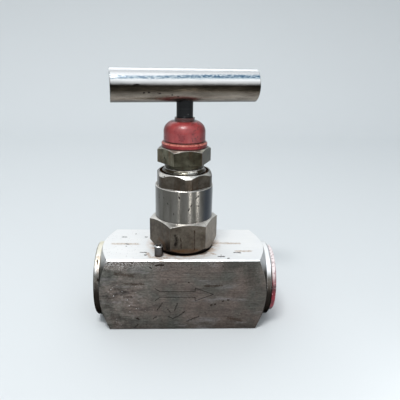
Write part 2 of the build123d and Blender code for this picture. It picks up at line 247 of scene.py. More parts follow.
# %% Edge wear
given, result, place = new_group("edge_wear", "Mask", width=0.35 * mm, breakup=0.5)
rounded = put(result.id_data, "ShaderNodeBevel", {"Radius": given["Width"]}, samples=6).outputs[0]
normal = put(result.id_data, "ShaderNodeNewGeometry").outputs["Normal"]
edge = spread(vector("DOT_PRODUCT", rounded, normal), 0.995, 0.90)
kept = spread(minus(noise(place, 420.0, 3.0), given["Breakup"]), -0.12, 0.12)
upward = spread(parts(rounded)[2], 0.05, 0.35)
edge_wear = end_group(times(edge, times(kept, upward)), result)

# %% [markdown]
# **Spots**: nicks, pits and specks are small cells of a Voronoi pattern, of which chance keeps a few.

# %% Spots
given, result, place = new_group("spots", "Mask", per_metre=500.0, size=0.25, share=0.3)
bent = noise(place, 900.0, 2.0, output="Color")
moved = vector("ADD", place, vector("SCALE", bent, scale=0.0006))
cells = beside([moved], "ShaderNodeTexVoronoi", {"Vector": moved, "Scale": given["Per metre"]}).outputs
near = calc("LESS_THAN", cells["Distance"], given["Size"])
pick = beside([moved], "ShaderNodeSeparateColor", [cells["Color"]]).outputs[0]
spots = end_group(times(near, calc("LESS_THAN", pick, given["Share"])), result)

# %% [markdown]
# ** Corner shade**: a painted shade darkens corners and creases, where ambient occlusion finds them closed in.

# %% Corner shade
given, result, place = new_group("painted_corner_shade", "Mask", reach=3.0 * mm)
occlusion = put(result.id_data, "ShaderNodeAmbientOcclusion", {"Distance": given["Reach"]}, samples=8)
open_air = plus(occlusion.outputs["AO"], times(minus(noise(place, 350.0), 0.5), 0.5))
painted_corner_shade = end_group(spread(open_air, 0.85, 0.35), result)

# %% [markdown]
# A **stroke** is a mark between two points: a scratch, a dent, a smear. The distance to the nearest point of
# the line decides how much of it shows, and a fine tremble keeps its sides from being straight. It needs no
# image, and goes on any face.

# %% Stroke
origin = (0.0, 0.0, 0.0)
given, result, place = new_group("stroke", "Mask", start=origin, finish=origin, width=0.2 * mm, softness=0.3)
shiver = vector("SUBTRACT", noise(place, 1400.0, 2.0, output="Color"), (0.5, 0.5, 0.5))
point = vector("ADD", place, vector("SCALE", shiver, scale=given["Width"]))
reach = vector("SUBTRACT", point, given["Start"])
whole = vector("SUBTRACT", given["Finish"], given["Start"])
share = calc("DIVIDE", vector("DOT_PRODUCT", reach, whole), vector("DOT_PRODUCT", whole, whole))
share = calc("MINIMUM", calc("MAXIMUM", share, 0.0), 1.0)
gap = vector("DISTANCE", reach, vector("SCALE", whole, scale=share))
half_width = times(given["Width"], 0.5)
inside = calc("DIVIDE", minus(half_width, gap), times(half_width, given["Softness"]))
stroke = end_group(calc("MINIMUM", calc("MAXIMUM", inside, 0.0), 1.0), result)

# %% [markdown]
# ## Starting a finish
#
# Each finish reads the Object coordinates, which are the valve's own metres, and ends in one Principled
# shader. A Bump node on its normal also rounds the edges a little, so they catch the light.


# %% Finish helpers
def new_finish(name, **constants):
    """A material with a Principled shader: the material, its tree, the shader and the Object coordinates."""
    material = bpy.data.materials.new(name)
    material.use_nodes = True
    tree = material.node_tree
    tree.nodes.clear()
    inputs = {spaced(key): value for key, value in constants.items()}
    shader = put(tree, "ShaderNodeBsdfPrincipled", inputs)
    put(tree, "ShaderNodeOutputMaterial", [shader.outputs[0]])
    place = put(tree, "ShaderNodeTexCoord").outputs["Object"]
    return material, tree, shader, place


def feed(shader, **links):
    """Link values to the shader's sockets by name."""
    for key, value in links.items():
        shader.id_data.links.new(value, shader.inputs[spaced(key)])


def relief(shader, height, depth, edge_round=0.15 * mm):
    """Give the surface a relief of that depth in metres, over softly rounded edges."""
    tree = shader.id_data
    soft = put(tree, "ShaderNodeBevel", {"Radius": edge_round}, samples=6).outputs[0]
    inputs = {"Height": height, "Distance": depth, "Normal": soft}
    feed(shader, Normal=put(tree, "ShaderNodeBump", inputs).outputs[0])


def directions(tree):
    """The three parts of the surface's own direction."""
    return parts(put(tree, "ShaderNodeNewGeometry").outputs["Normal"])


def off_axis(place, across=(1.0, 1.0, 0.0)):
    """How far a place is from the axis that has no part in across. It is the stem axis unless told."""
    return vector("LENGTH", vector("MULTIPLY", place, across))


def marks(place, lines, width, softness):
    """One mask for a list of strokes, each given by its two ends in millimetres."""
    mask = 0.0
    for start, finish in lines:
        drawn = use_group(stroke, place, start=tuple(v * mm for v in start),
                          finish=tuple(v * mm for v in finish), width=width, softness=softness)
        mask = calc("MAXIMUM", mask, drawn)
    return mask


def wear(node_names, material):
    """Put one material on all of these nodes."""
    for name in node_names:
        slots = nodes[name].data.materials
        slots.clear()
        slots.append(material)
    print(material.name, "on", ", ".join(node_names))


def add_object(name, data):
    """A new object in the scene, at the origin."""
    item = bpy.data.objects.new(name, data)
    scene.collection.objects.link(item)
    return item


def add_shape(name, shape):
    """Turn a bmesh shape into an object, with its faces outward."""
    bmesh.ops.recalc_face_normals(shape, faces=shape.faces)
    mesh = bpy.data.meshes.new(name)
    shape.to_mesh(mesh)
    shape.free()
    return add_object(name, mesh)


print("finish helpers ready")

# %% [markdown]
# ## The body's marks
#
# The body is a length of square stainless bar. A flow arrow is scribed on its front, and years of use have
# left scratches, dents, smudges and brown stains. Each is a stroke between two points: in x and z on the
# front, in x and y on the top, and in all three on the bosses. Painted strokes keep the solid as it is.

# %% Body marks
front_y, top_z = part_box("valve_body")[0][1] / mm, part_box("valve_body")[1][2] / mm


def on_front(*ends):
    """Strokes on the front face, from x and z in millimetres."""
    return [((x1, front_y, z1), (x2, front_y, z2)) for x1, z1, x2, z2 in ends]


def on_top(*ends):
    """Strokes on the top face, from x and y in millimetres."""
    return [((x1, y1, top_z), (x2, y2, top_z)) for x1, y1, x2, y2 in ends]


flow_arrow = on_front(
    (-9.5, 17.9, 4.8, 17.9), (-9.5, 15.3, 4.8, 15.3), (4.8, 17.9, 4.8, 19.6), (4.8, 15.3, 4.8, 13.6),
    (4.8, 19.6, 12.2, 16.6), (4.8, 13.6, 12.2, 16.6), (-9.5, 17.9, -11.5, 19.4), (-9.5, 15.3, -11.5, 13.8),
)
scratches = on_front(
    (-12.3, 5.2, -11.0, 6.2), (-10.6, 9.4, -8.6, 12.6), (-6.0, 6.2, -4.4, 5.2), (-4.4, 5.2, -1.6, 6.6),
    (-1.6, 6.6, 0.6, 8.6), (-20.0, 1.0, -18.8, 2.6), (-2.4, 12.4, -3.6, 9.0), (1.5, 4.0, 6.5, 6.2),
    (-6.4, 9.6, -5.4, 8.4),
)
dents = on_front(
    (16.2, 13.4, 16.5, 13.5), (18.3, 13.9, 18.5, 14.0), (11.5, 11.6, 11.8, 11.6), (13.0, 11.9, 13.2, 12.0),
    (2.0, 22.0, 2.2, 22.0), (-13.4, 28.8, -13.0, 28.6), (-11.0, 29.8, -8.0, 30.0), (-19.0, 5.4, -18.2, 5.0),
)
dents += [((-35.3, -9.2, 28.7), (-35.2, -10.6, 27.6)), ((-34.5, -14.3, 22.6), (-34.4, -14.4, 22.0))]
dents += on_top(
    (-17.6, -8.7, -15.4, -8.8), (-15.6, -11.2, -15.2, -11.3), (21.0, -8.8, 23.4, -9.0),
    (14.2, -12.6, 16.4, -12.5), (17.9, -14.1, 18.1, -14.1), (-16.8, 6.9, -16.0, 6.9),
    (-26.9, 6.8, -25.2, 6.8), (-24.6, -0.4, -23.6, -0.8),
)
smudges = on_front(
    (-24.2, 21.6, -16.0, 21.4), (-21.5, 21.4, -19.0, 21.3), (-24.0, 15.6, -21.0, 15.5),
    (8.6, 20.6, 15.6, 20.7), (8.8, 20.4, 10.6, 20.4),
)
dark_corner_patch = on_front((18.0, 30.5, 26.5, 30.5), (26.5, 30.5, 27.5, 22.0))
stains = on_front((19.0, 5.4, 24.0, 4.0), (-27.0, 26.0, -20.0, 25.0))
stains += on_top(
    (-30.0, -0.4, -19.5, -0.6), (12.6, 0.6, 24.0, 0.2), (-13.3, -13.4, -6.4, -14.0),
    (11.0, -9.0, 12.6, -10.4), (22.0, -7.4, 28.0, -7.4), (-11.6, -13.0, -9.0, -15.6),
    (-14.6, -9.6, -13.8, -12.6),
)
stains += [((-35.0, -8.0, 29.4), (-34.6, -13.0, 24.6))]
print("marks", len(scratches) + len(dents) + len(stains))

# %% [markdown]
# ## The body's steel
#
# The finish starts with masks for what differs over the body. `turned` is the lathe-cut cones, where the
# grain runs in rings and not along the bar. `boss` and `end_face` are the ends. `up` is what faces the
# light, where the top is later painted bright as light: a sum of direction and cloud makes its edge wander,
# and the right half gets a little more. `left_end` is the more knocked half. `around` is how far a surface
# has turned upwards round the bar, and 1.02 keeps it finite on the end faces.

# %% Body masks
body_steel, tree, shader, place = new_finish("body_steel", Specular_Tint=(0.35, 0.35, 0.35))
port_axis_z, boss_start = 16.0 * mm, 34.1 * mm
left_from, left_full = -6.0 * mm, -26.0 * mm
upper_from, upper_full, upper_sway = 31.0 * mm, 36.5 * mm, 9.0 * mm

aim = directions(tree)
seat = parts(place)
round_port = put(tree, "ShaderNodeCombineXYZ", [seat[1], minus(seat[2], port_axis_z), seat[0]]).outputs[0]
turned = spread(calc("ABSOLUTE", aim[0]), 0.12, 0.30)
end_face = spread(calc("ABSOLUTE", aim[0]), 0.92, 0.98)
boss = calc("GREATER_THAN", calc("ABSOLUTE", seat[0]), boss_start)
sideways = calc("SQRT", minus(1.02, times(aim[0], aim[0])))
around = calc("DIVIDE", aim[2], sideways)
ringed = use_group(lathe_rings, round_port, rings_per_metre=2600.0)
lines = use_group(streaks, place, stretch=(90.0, 1500.0, 1500.0))
grain = put(tree, "ShaderNodeMix", {0: turned, 2: lines, 3: ringed}, data_type="FLOAT").outputs[0]
smears = noise(place, 1.0, 5.0, 0.65, (55.0, 230.0, 230.0))
clouds = noise(place, 75.0, 4.0, 0.6)
crumbs = noise(place, 1.0, 3.0, 0.7, (900.0, 1500.0, 1500.0))
right_half = calc("GREATER_THAN", seat[0], 0.0)
lit = plus(around, times(clouds, 0.10), times(turned, -0.12), times(right_half, 0.06))
up = spread(lit, 0.50, 0.73, smooth=True)
worn = use_group(edge_wear, place, width=0.20 * mm, breakup=0.40)
pits = use_group(spots, place, per_metre=330.0, size=0.13, share=0.16)
dust = use_group(spots, place, per_metre=1100.0, size=0.24, share=0.30)
left_end = spread(seat[0], left_from, left_full)
upper_edge = spread(plus(seat[2], times(clouds, upper_sway)), upper_from, upper_full)
knocked = times(upper_edge, spread(left_end, 0.0, 1.0, 0.06, 1.0))
flecks = noise(place, 1.0, 2.0, 0.6, (2300.0, 3200.0, 3200.0))
left_side = calc("SUBTRACT", left_end, end_face, clamp=True)
rubs_and_reflection = times(left_side, spread(clouds, 0.50, 0.60))
bright_specks = times(dust, calc("MAXIMUM", knocked, rubs_and_reflection))
print("body masks", len(tree.nodes), "nodes")

# %% [markdown]
# The strokes become masks too. Fine noise breaks up the scratches, stains and smudges, because a clean-edged
# stroke looks drawn. The scribed arrow and the dents stay crisp.

# %% Body strokes
scribed = marks(place, flow_arrow, 0.34 * mm, 0.4)
scratched = times(marks(place, scratches, 0.85 * mm, 1.0), spread(crumbs, 0.30, 0.56, 0.35, 1.3))
dented = calc("MINIMUM", times(marks(place, dents, 1.0 * mm, 0.8), 1.5), 1.0)
stained = times(marks(place, stains, 2.2 * mm, 1.0), spread(crumbs, 0.24, 0.68, 0.45, 1.0))
smudged = times(marks(place, smudges, 1.3 * mm, 1.0), spread(crumbs, 0.32, 0.50, 0.5, 1.0))
print("body strokes", len(tree.nodes), "nodes")

# %% [markdown]
# The sides are painted dark, partly grime from handling and partly shade, and streaked along the bar. They
# are brightest a little left of the middle and darkest along the foot. Flecks gather below the top edge, the
# bright ones mostly at the left.

# %% Body sides
bright_place, bright_core, bright_reach = 8.0 * mm, 8.0 * mm, 20.0 * mm
foot_dark, foot_clear = 1.5 * mm, 6.0 * mm

# painted shade: the dark side tones stand partly for shade and partly for handling grime
side = tint(spread(clouds, 0.38, 0.62), (0.097, 0.094, 0.083), (0.140, 0.112, 0.098))
side = shade(side, spread(left_end, 0.0, 1.0, 0.94, 1.20))
from_middle = calc("ABSOLUTE", plus(seat[0], bright_place))
side = shade(side, spread(from_middle, bright_core, bright_reach, 1.16, 1.0, smooth=True))
side = shade(side, spread(seat[2], foot_dark, foot_clear, 0.74, 1.0, smooth=True))
side = tint(spread(smears, 0.56, 0.74), side, (0.200, 0.186, 0.182))
deep = times(spread(smears, 0.44, 0.28), spread(left_end, 0.0, 1.0, 0.45, 1.0))
side = tint(deep, side, (0.050, 0.043, 0.041))
side = shade(side, spread(grain, 0.0, 1.0, 0.74, 1.26))
side = shade(side, spread(crumbs, 0.30, 0.70, 0.72, 1.26))
mottled = noise(place, 1.0, 4.0, 0.75, (260.0, 480.0, 480.0))
patchy = times(spread(mottled, 0.34, 0.66, -0.45, 0.50), spread(left_end, 0.0, 1.0, 0.30, 1.0))
side = shade(side, plus(patchy, 1.0))
pale = times(spread(mottled, 0.54, 0.68), rubs_and_reflection, 0.50)
side = tint(pale, side, (0.36, 0.34, 0.33))
black_flecks = times(spread(flecks, 0.42, 0.35), upper_edge)
side = tint(black_flecks, side, (0.020, 0.017, 0.016))
bright_flecks = times(spread(flecks, 0.53, 0.60), knocked)
side = tint(bright_flecks, side, (0.80, 0.78, 0.76))
print("body sides", len(tree.nodes), "nodes")

# %% [markdown]
# The top is painted white, as light on it, and the left boss a little yellow. The lower halves of the cones
# and bosses are painted nearly black, as shade. The port's end face is plain turned steel. Rust has run out
# from under the bonnet, and the gap below the bonnet is painted as a black line of shadow.

# %% Body top and ends
rust_reach, rust_start = 16.4 * mm, 12.6 * mm
gap_outer, gap_inner = 12.5 * mm, 12.1 * mm

# painted light: the top's white tone stands for the light on it
painted_lit_top = tint(spread(clouds, 0.35, 0.65), (0.87, 0.88, 0.88), (0.92, 0.92, 0.91))
painted_lit_top = tint(times(grain, 0.22), painted_lit_top, (0.72, 0.72, 0.72))
left_boss = times(calc("LESS_THAN", seat[0], -boss_start), spread(clouds, 0.36, 0.56))
painted_lit_top = tint(times(left_boss, 0.8), painted_lit_top, (0.74, 0.69, 0.52))
# painted shade: the lower halves of the cones and bosses are painted nearly black
under = times(calc("MAXIMUM", turned, boss), spread(around, 0.45, 0.05, smooth=True))
side = tint(under, side, (0.022, 0.018, 0.015))
faced = tint(grain, (0.30, 0.29, 0.27), (0.46, 0.45, 0.43))
side = tint(end_face, side, shade(faced, spread(crumbs, 0.30, 0.70, 0.75, 1.15)))
# a large soft dark patch over the top right corner of the front
corner = marks(place, dark_corner_patch, 8.0 * mm, 1.0)
side = tint(times(corner, 0.65), side, (0.034, 0.031, 0.027))
from_stem = off_axis(place)
# painted shadow: a black ring on the top round the bonnet's foot, for the shade in the gap below it
painted_gap_shadow = spread(from_stem, gap_outer, gap_inner)
foot = times(spread(from_stem, rust_reach, rust_start), spread(mottled, 0.38, 0.56))
painted_lit_top = tint(times(foot, 0.85), painted_lit_top, (0.56, 0.36, 0.22))
painted_lit_top = tint(painted_gap_shadow, painted_lit_top, (0.018, 0.012, 0.008))
print("body top and ends", len(tree.nodes), "nodes")

# %% [markdown]
# The layers go on in the order in which they came to the real valve: steel, pits, knocks, rust, dirt, cuts.
# The painted light of the top goes over the painted dark of the sides, and the rust is painted lighter where
# it faces up. Where the top lies level it is rougher and less metallic, so its painted white stays white.

# %% Body layers
# painted light and shade: the lit white top over the dark sides
tone = tint(up, side, painted_lit_top)
tone = tint(times(pits, 0.8), tone, (0.07, 0.055, 0.05))
tone = tint(worn, tone, (0.80, 0.79, 0.77))
tone = tint(bright_specks, tone, (0.66, 0.65, 0.64))
# painted light: rust is lighter where it faces up
rust = tint(up, (0.040, 0.024, 0.016), (0.40, 0.25, 0.14))
tone = tint(times(stained, 0.95), tone, rust)
tone = tint(times(smudged, 0.90), tone, (0.030, 0.018, 0.012))
cut = calc("MAXIMUM", scribed, scratched)
tone = tint(times(cut, 0.90), tone, (0.016, 0.014, 0.013))
tone = tint(dented, tone, (0.030, 0.022, 0.018))
rough = plus(spread(grain, 0.0, 1.0, 0.36, 0.46), times(stained, 0.2))
# the level top is made rougher and less metallic, so its painted white stays white
level = spread(aim[2], 0.80, 0.98)
feed(shader, Base_Color=tone, Roughness=plus(rough, times(level, 0.18)),
     Metallic=minus(1.0, times(level, 0.6)))
relief(shader, minus(times(grain, 0.25), pits), 0.05 * mm, 0.07 * mm)
wear(["valve_body"], body_steel)

# %% [markdown]
# ## Turned steel
#
# The bonnet, the gland nut and the small steel pieces come off a lathe. Their hexagons are painted dark and
# brown, partly grime and partly shade. Bevels and ledges that face up carry a painted highlight, and edges
# where a cloth or a spanner rubs are worn bright. One function makes them all. What only some pieces have,
# such as a polished band, is a small function of its own.


# %% Turned steel parts
def painted_flank_light(tone, seat, aim, flank_light):
    """Painted light: facets that face left or right between two heights are lighter by their own factors."""
    bottom, top, to_left, to_right = flank_light
    band = times(calc("GREATER_THAN", seat[2], bottom), calc("LESS_THAN", seat[2], top))
    leftward = times(band, spread(aim[0], -0.25, -0.45))
    rightward = times(band, spread(aim[0], 0.25, 0.45))
    tone = shade(tone, spread(leftward, 0.0, 1.0, 1.0, to_left))
    return shade(tone, spread(rightward, 0.0, 1.0, 1.0, to_right))


def polished_band(tone, rough, seat, aim, runs, ring, polished):
    """A cleaner turned band between two heights, painted with a dark blue reflection where it turns right.
    """
    bottom, top, fade, band_dark, band_bright = polished
    band = times(calc("GREATER_THAN", seat[2], bottom), spread(seat[2], top, top - fade))
    clean = tint(spread(runs, 0.35, 0.65), band_dark, band_bright)
    clean = tint(times(ring, 0.3), clean, band_bright)
    # painted reflection: a dark blue cast where the band turns away to the right
    painted_blue_reflection = times(spread(seat[0], 6.2 * mm, 9.0 * mm, smooth=True),
                        spread(aim[1], 0.10, -0.35, smooth=True))
    clean = tint(painted_blue_reflection, clean, (0.042, 0.047, 0.058))
    return tint(band, tone, clean), minus(rough, times(band, 0.16))


def rusty_bore(tone, place, seat, crumbs, rust_below):
    """Rust inside a radius, between two heights."""
    radius, bottom, top = rust_below
    inside = times(calc("LESS_THAN", off_axis(place), radius),
                   calc("LESS_THAN", seat[2], top), calc("GREATER_THAN", seat[2], bottom))
    rust = tint(spread(crumbs, 0.4, 0.6), (0.12, 0.060, 0.030), (0.42, 0.26, 0.15))
    return tint(inside, tone, rust)


def lit_bevels(seat, aim, crumbs, patch):
    """Painted highlight on upward surfaces, broken by wear, with painted shade on high ledges not facing the
    front.
    """
    dimmed_from, dimmed_full = 59.5 * mm, 62.0 * mm
    up = times(spread(aim[2], 0.25, 0.6), spread(crumbs, 0.30, 0.50, 0.6, 1.0))
    up = times(up, spread(patch, 0.38, 0.56, 0.62, 1.0))
    grease_and_shade = times(spread(aim[1], -0.40, -0.15), spread(seat[2], dimmed_from, dimmed_full))
    return times(up, spread(grease_and_shade, 0.0, 1.0, 1.0, 0.25))


print("steel parts ready")


# %% [markdown]
# The whole finish is dark stained steel, then what the piece has of its own, then the painted highlight on
# upward bevels, painted shade in corners, wear, pits and marks. Undersides are painted nearly black, as
# shade.


# %% Turned steel
def turned_steel(name, dark, bright, low, high, bevel_highlight, polished=None, flank_light=None, rust_below=None,
                 corner_shade_amount=0.85, strokes=(), smears=()):
    """Steel with lathe rings, dark sides, painted shade in corners and a painted highlight on upward bevels.

    dark and bright are its tones, low and high its roughness, and bevel_highlight the colour of the painted
    highlight on its bevels. The polished band is (lowest z, highest z, fade, dark, bright), flank_light is
    (lowest z, highest z, left factor, right factor) for facets painted lighter as light, rust_below is a
    bore's (radius, lowest z, highest z), strokes are fine nicks, and each of the smears is (lines, width,
    softness, colour): stains, painted highlights and painted shade.
    """
    material, tree, shader, place = new_finish(name, Metallic=1.0)
    aim = directions(tree)
    seat = parts(place)
    ring = use_group(lathe_rings, place, rings_per_metre=2500.0)
    corner_shade = use_group(painted_corner_shade, place, reach=2.2 * mm)
    worn = use_group(edge_wear, place, width=0.28 * mm, breakup=0.36)
    patch = noise(place, 150.0, 5.0, 0.6)
    runs = noise(place, 1.0, 4.0, 0.6, (420.0, 420.0, 60.0))
    crumbs = noise(place, 900.0, 3.0, 0.7)
    pits = use_group(spots, place, per_metre=520.0, size=0.15, share=0.14)
    tone = tint(spread(patch, 0.36, 0.66), dark, bright)
    tone = tint(spread(runs, 0.52, 0.75), tone, (0.045, 0.024, 0.013))
    tone = shade(tone, spread(crumbs, 0.30, 0.70, 0.75, 1.25))
    rough = spread(patch, 0.3, 0.7, low, high)
    if flank_light:
        tone = painted_flank_light(tone, seat, aim, flank_light)
    if polished:
        tone, rough = polished_band(tone, rough, seat, aim, runs, ring, polished)
    tone = tint(times(ring, 0.12), tone, bright)
    # painted highlight: upward bevels are painted bright
    tone = tint(lit_bevels(seat, aim, crumbs, patch), tone, bevel_highlight)
    # painted shade: corners and creases are darkened to a brown-black
    tone = tint(times(corner_shade, corner_shade_amount), tone, (0.045, 0.026, 0.015))
    # painted shade: undersides are painted nearly black
    tone = tint(spread(aim[2], -0.12, -0.35), tone, (0.014, 0.010, 0.008))
    tone = tint(worn, tone, (0.74, 0.71, 0.66))
    if rust_below:
        tone = rusty_bore(tone, place, seat, crumbs, rust_below)
    tone = tint(pits, tone, (0.02, 0.016, 0.014))
    hollow = pits
    for lines, width, softness, hue in smears:
        smeared = times(marks(place, lines, width, softness),
                        spread(crumbs, 0.36, 0.60, 1.0 - softness / 2, 1.2))
        tone = tint(calc("MINIMUM", smeared, 1.0), tone, hue)
    if strokes:
        cut = marks(place, strokes, 0.46 * mm, 0.5)
        tone = tint(cut, tone, (0.015, 0.012, 0.010))
        hollow = calc("MAXIMUM", pits, cut)
    feed(shader, Base_Color=tone, Roughness=plus(rough, times(corner_shade, 0.2)))
    relief(shader, minus(ring, times(hollow, 4.0)), 0.008 * mm)
    return material


print("turned steel ready")

# %% [markdown]
# ## Bonnet and follower
#
# The bonnet's collar is polished by hands and nicked by tools, and has a painted dark blue reflection where
# it turns away to the right. Its hexagon is dark, with rust and black runs on the front facets, and its left
# and right facets are painted lighter, as light. Its mouth is rusty inside. The follower under the nut is of
# the same steel.

# %% Bonnet steel
collar_bottom, ledge, rim = 45.7 * mm, 58.9 * mm, 64.8 * mm
mouth_reach, rust_floor = 10.3 * mm, 50.0 * mm
collar_nicks = [
    ((-2.1, -11.6, 57.0), (-1.6, -11.7, 56.4)), ((3.1, -11.4, 53.8), (2.5, -11.5, 52.9)),
    ((2.2, -11.5, 52.2), (1.7, -11.7, 51.4)), ((4.5, -11.0, 56.0), (5.6, -10.4, 57.0)),
    ((5.0, -10.7, 53.0), (5.8, -10.2, 52.8)), ((-6.6, -9.8, 53.8), (-6.4, -9.9, 53.4)),
    ((-4.1, -11.0, 49.9), (-4.0, -11.1, 49.5)),
]
hexagon_blots = [((-3.4, -12.9, 41.0), (-2.9, -12.9, 39.4)), ((-2.9, -12.9, 39.4), (-3.3, -12.9, 36.8))]
hexagon_rust = [
    ((-10.0, -7.4, 37.2), (-7.7, -10.3, 36.4)), ((-7.9, -10.0, 36.6), (-7.5, -10.6, 33.9)),
    ((-5.4, -13.2, 34.4), (6.0, -11.8, 34.2)),
]
hexagon_runs = [((4.2, -11.9, 43.0), (4.3, -11.9, 34.6)), ((-1.2, -12.6, 40.0), (-1.0, -12.6, 35.6))]
# the collar's band, with its painted blue reflection on the right
collar_band = (collar_bottom, ledge, 0.1 * mm, (0.090, 0.084, 0.073), (0.155, 0.146, 0.132))
bonnet_smears = [
    (hexagon_rust, 2.6 * mm, 1.0, (0.085, 0.043, 0.020)),
    (hexagon_runs, 0.8 * mm, 1.0, (0.022, 0.013, 0.008)),
    (hexagon_blots, 2.3 * mm, 0.9, (0.008, 0.006, 0.005)),
]
# painted light: the hexagon's side facets are lighter by the flank factors
wear(["bonnet", "gland_follower"],
     turned_steel("bonnet_steel", (0.036, 0.028, 0.021), (0.098, 0.084, 0.068), 0.32, 0.44,
                  (0.78, 0.75, 0.70), polished=collar_band, flank_light=(0.0, collar_bottom, 1.25, 2.9),
                  rust_below=(mouth_reach, rust_floor, rim), strokes=collar_nicks, smears=bonnet_smears))

# %% [markdown]
# ## The other steel pieces
#
# The gland nut has an oily, greenish film and a turned neck, lighter low down, which fades into painted
# shade under the hexagon. Its side facets are painted lighter, as light. The lock pin is rolled spring
# steel, and its bore is painted black, as shade. The needle's tip, its ball and its ring are ground, and the
# seal ring is soft and pale.

# %% Other steel pieces
# painted shade: the neck's clean band is lighter low down and fades out under the hexagon
neck_bottom, neck_top, neck_fade = 60.0 * mm, 67.0 * mm, 1.8 * mm
nut_bottom, nut_top = 68.0 * mm, 80.0 * mm
neck_band = (neck_bottom, neck_top, neck_fade, (0.034, 0.028, 0.020), (0.110, 0.098, 0.070))
# painted light: the nut's side facets are lighter by the flank factors
wear(["gland_nut"],
     turned_steel("gland_steel", (0.019, 0.016, 0.010), (0.074, 0.070, 0.050), 0.30, 0.42,
                  (0.74, 0.70, 0.60), flank_light=(nut_bottom, nut_top, 3.0, 1.6), corner_shade_amount=0.35,
                  polished=neck_band))
pin_low, pin_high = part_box("bonnet_lock_pin")
pin_x, pin_y = (pin_low[0] + pin_high[0]) / 2 / mm, (pin_low[1] + pin_high[1]) / 2 / mm
# painted shade: the pin's bore is painted black
pin_bore_shade = [((pin_x, pin_y, pin_low[2] / mm), (pin_x, pin_y, pin_high[2] / mm))]
wear(["bonnet_lock_pin"],
     turned_steel("pin_steel", (0.045, 0.038, 0.036), (0.10, 0.094, 0.092), 0.3, 0.4,
                  (0.75, 0.75, 0.75), smears=[(pin_bore_shade, 2.3 * mm, 0.1, (0.004, 0.004, 0.004))]))
wear(["needle_tip", "thrust_ball", "tip_snap_ring"],
     turned_steel("tip_steel", (0.52, 0.50, 0.47), (0.64, 0.62, 0.59), 0.15, 0.22, (0.66, 0.64, 0.61)))
wear(["bonnet_seal_ring"],
     turned_steel("seal_metal", (0.50, 0.48, 0.45), (0.62, 0.60, 0.57), 0.35, 0.45, (0.66, 0.64, 0.61)))

# %% [markdown]
# ## Blackened stem
#
# The stem and the set screw are blackened steel, a satin near-black with faint lathe rings. A few rubbed
# specks and the worn edges show the grey steel below. The black is an oxide, so it isn't metallic.

# %% Stem black
stem_black, tree, shader, place = new_finish("stem_black", Specular_IOR_Level=0.15)
ring = use_group(lathe_rings, place, rings_per_metre=3000.0)
worn = use_group(edge_wear, place, width=0.25 * mm, breakup=0.5)
rubs = use_group(spots, place, per_metre=600.0, size=0.2, share=0.10)
tone = tint(ring, (0.005, 0.005, 0.006), (0.014, 0.015, 0.016))
tone = tint(times(rubs, 0.6), tone, (0.10, 0.10, 0.10))
feed(shader, Base_Color=tint(worn, tone, (0.20, 0.19, 0.18)), Roughness=spread(ring, 0.0, 1.0, 0.35, 0.5))
relief(shader, ring, 0.005 * mm)
wear(["stem", "handle_set_screw"], stem_black)

# %% [markdown]
# ## Packing
#
# The packing is white plastic, slightly mottled, and light goes a little way into it. It is hidden in the
# bonnet, so a short finish will do.

# %% Packing
packing_ptfe, tree, shader, place = new_finish("packing_ptfe", Roughness=0.5, Subsurface_Weight=0.1)
mottle = noise(place, 500.0)
feed(shader, Base_Color=tint(mottle, (0.74, 0.73, 0.70), (0.84, 0.84, 0.82)))
relief(shader, mottle, 0.01 * mm)
packing_names = [name for name in nodes if name.startswith("packing")]
wear(packing_names, packing_ptfe)

# %% [markdown]
# ## Packing rings copied
#
# Tightening the gland squeezes the soft rings, and that is what seals the stem. One turn takes 1.5 mm off
# the stack, whose foot stands on the floor of the packing box. Each ring is copied with a mesh of its own
# and attached to the valve, and the imported ring is hidden.

# %% Packing rings copied
for name in packing_names:
    soft = add_object("soft_" + name, nodes[name].data.copy())
    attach(soft, "valve")
    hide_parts(name)
    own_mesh(soft)

# %% [markdown]
# ## Dust cap
#
# The cap is soft moulded plastic, faded to a dull red and rubbed paler in streaks. Dark grease sits in
# specks on its right and under its lip. Its outer shoulders are painted dark, as shade, and so is its hem,
# where it meets the nut. A dark line runs round the foot of its drum, and the ridge outside that line
# carries a painted highlight. The cap is glossier on its drum than on its flange.

# %% Dust cap masks
cap_red, tree, shader, place = new_finish("cap_red", IOR=1.62)
cap_low, cap_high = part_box("dust_cap")[0][2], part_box("dust_cap")[1][2]
flange_top = cap_low + 2.2 * mm
junction_radius = 8.65 * mm
grease = [
    ((2.4, -6.1, 84.0), (3.1, -5.3, 84.2)), ((5.4, -5.1, 83.1), (4.3, -6.3, 82.9)),
    ((4.3, -6.3, 82.9), (3.5, -7.5, 80.8)), ((3.5, -7.5, 80.8), (2.9, -7.8, 79.0)),
    ((4.3, -7.1, 79.2), (4.0, -7.3, 78.0)),
]

seat = parts(place)
patch = noise(place, 260.0, 6.0, 0.6)
fine = noise(place, 1500.0, 3.0)
rubs_and_reflection = noise(place, 1.0, 4.0, 0.55, (700.0, 700.0, 110.0))
specks = use_group(spots, place, per_metre=950.0, size=0.29, share=0.45)
right_side = spread(seat[0], 0.5 * mm, 4.0 * mm)
grease_and_shade = times(specks, spread(plus(right_side, patch), 0.80, 1.30))
corner_shade = use_group(painted_corner_shade, place, reach=1.2 * mm)
worn = use_group(edge_wear, place, width=0.35 * mm, breakup=0.30)
# painted shade: the cap's left and right shoulders are painted dark
painted_side_shade = times(spread(calc("ABSOLUTE", seat[0]), 4.5 * mm, 8.0 * mm, smooth=True),
              spread(patch, 0.30, 0.60, 0.45, 0.85))
lip = spread(seat[2], cap_high - 1.5 * mm, cap_high - 1.2 * mm)
# painted shade: the hem, where the cap meets the nut, is painted dark
hem_shade = spread(seat[2], cap_low + 0.75 * mm, cap_low + 0.25 * mm)
away = off_axis(place)
on_flange = calc("LESS_THAN", seat[2], flange_top + 0.55 * mm)
# a dark line round the foot of the drum
junction_line = times(on_flange, spread(away, junction_radius + 0.1 * mm, junction_radius - 0.1 * mm))
